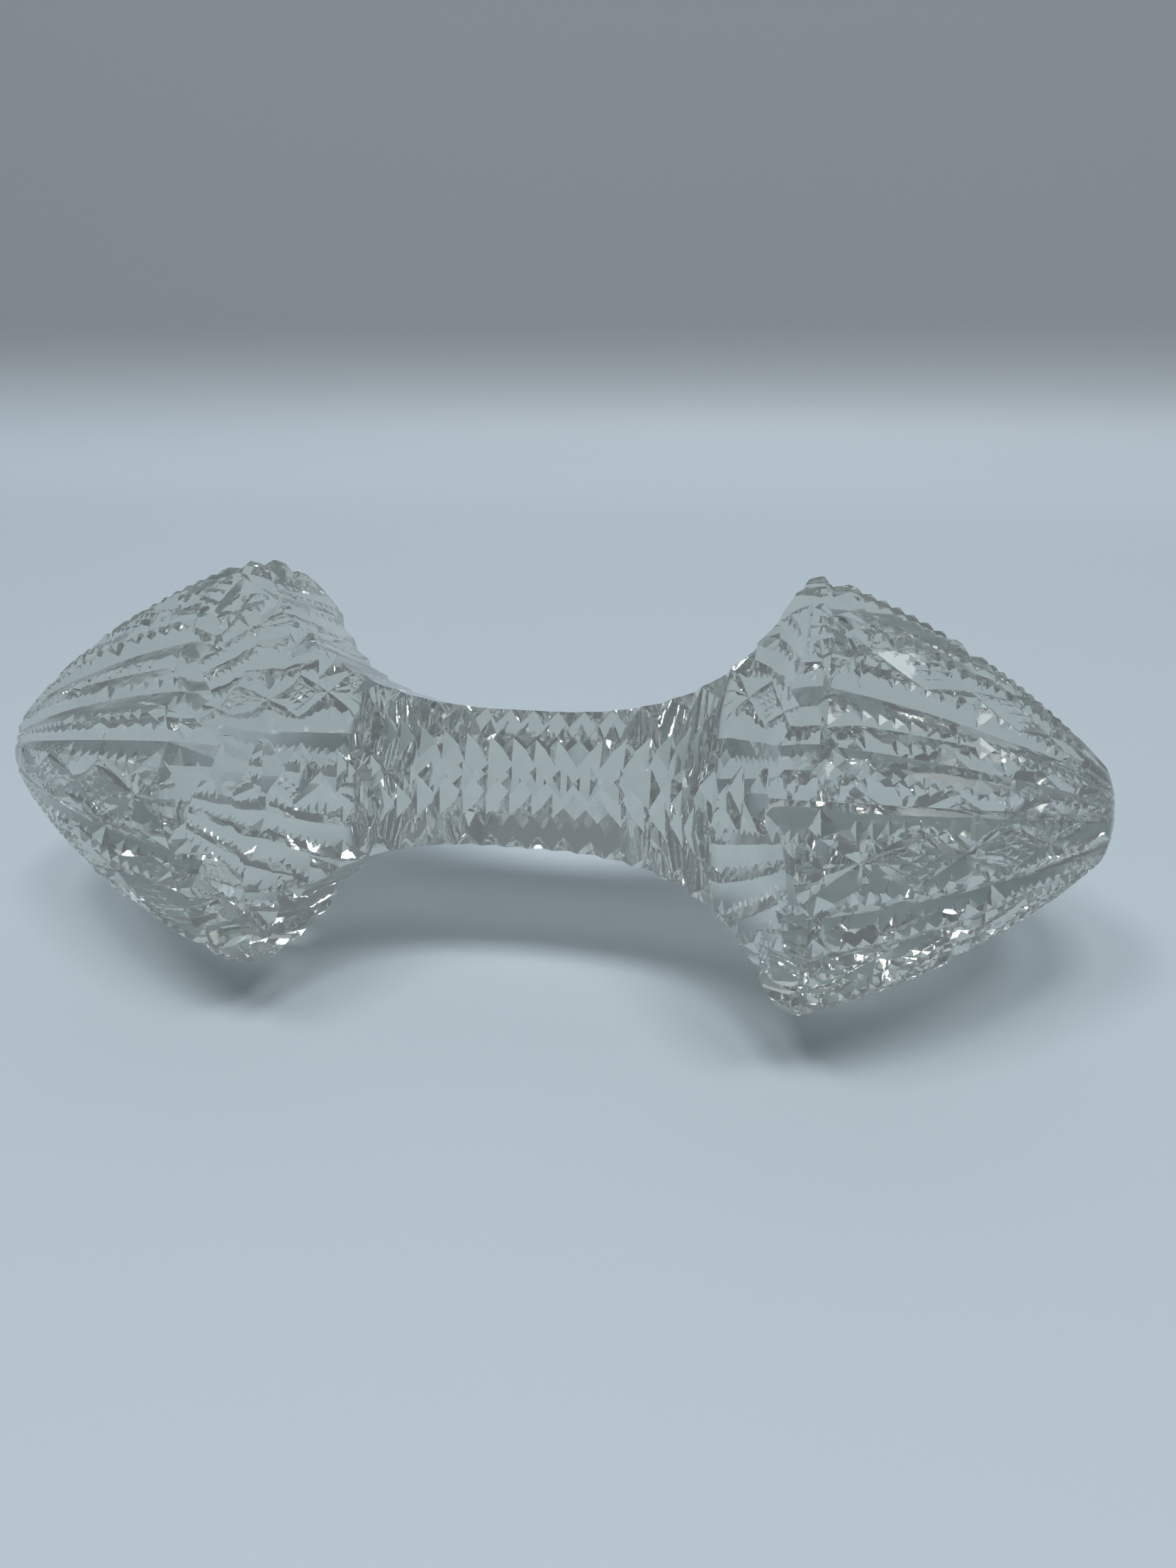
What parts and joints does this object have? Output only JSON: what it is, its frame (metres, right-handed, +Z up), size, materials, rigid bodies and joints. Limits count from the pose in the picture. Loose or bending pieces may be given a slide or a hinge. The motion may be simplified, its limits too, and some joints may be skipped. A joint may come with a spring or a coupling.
{
  "type": "cut glass dumbbell",
  "caption": "Solid cut crystal dumbbell with two pointed brilliant-cut heads joined by a six-sided grip with notched ridges.",
  "frame": {"origin": "on the surface that the heads rest on, under the middle of the grip", "axes": "+X along the long axis from one tip to the other, +Z up with the axis level, -Y towards the viewer"},
  "size_m": [0.19, 0.071, 0.071],
  "materials": {
    "cut_glass": "clear colourless lead crystal, wheel cut and polished"
  },
  "bodies": {
    "root": {"glass_dumbbell": "cut_glass"}
  },
  "joints": []
}
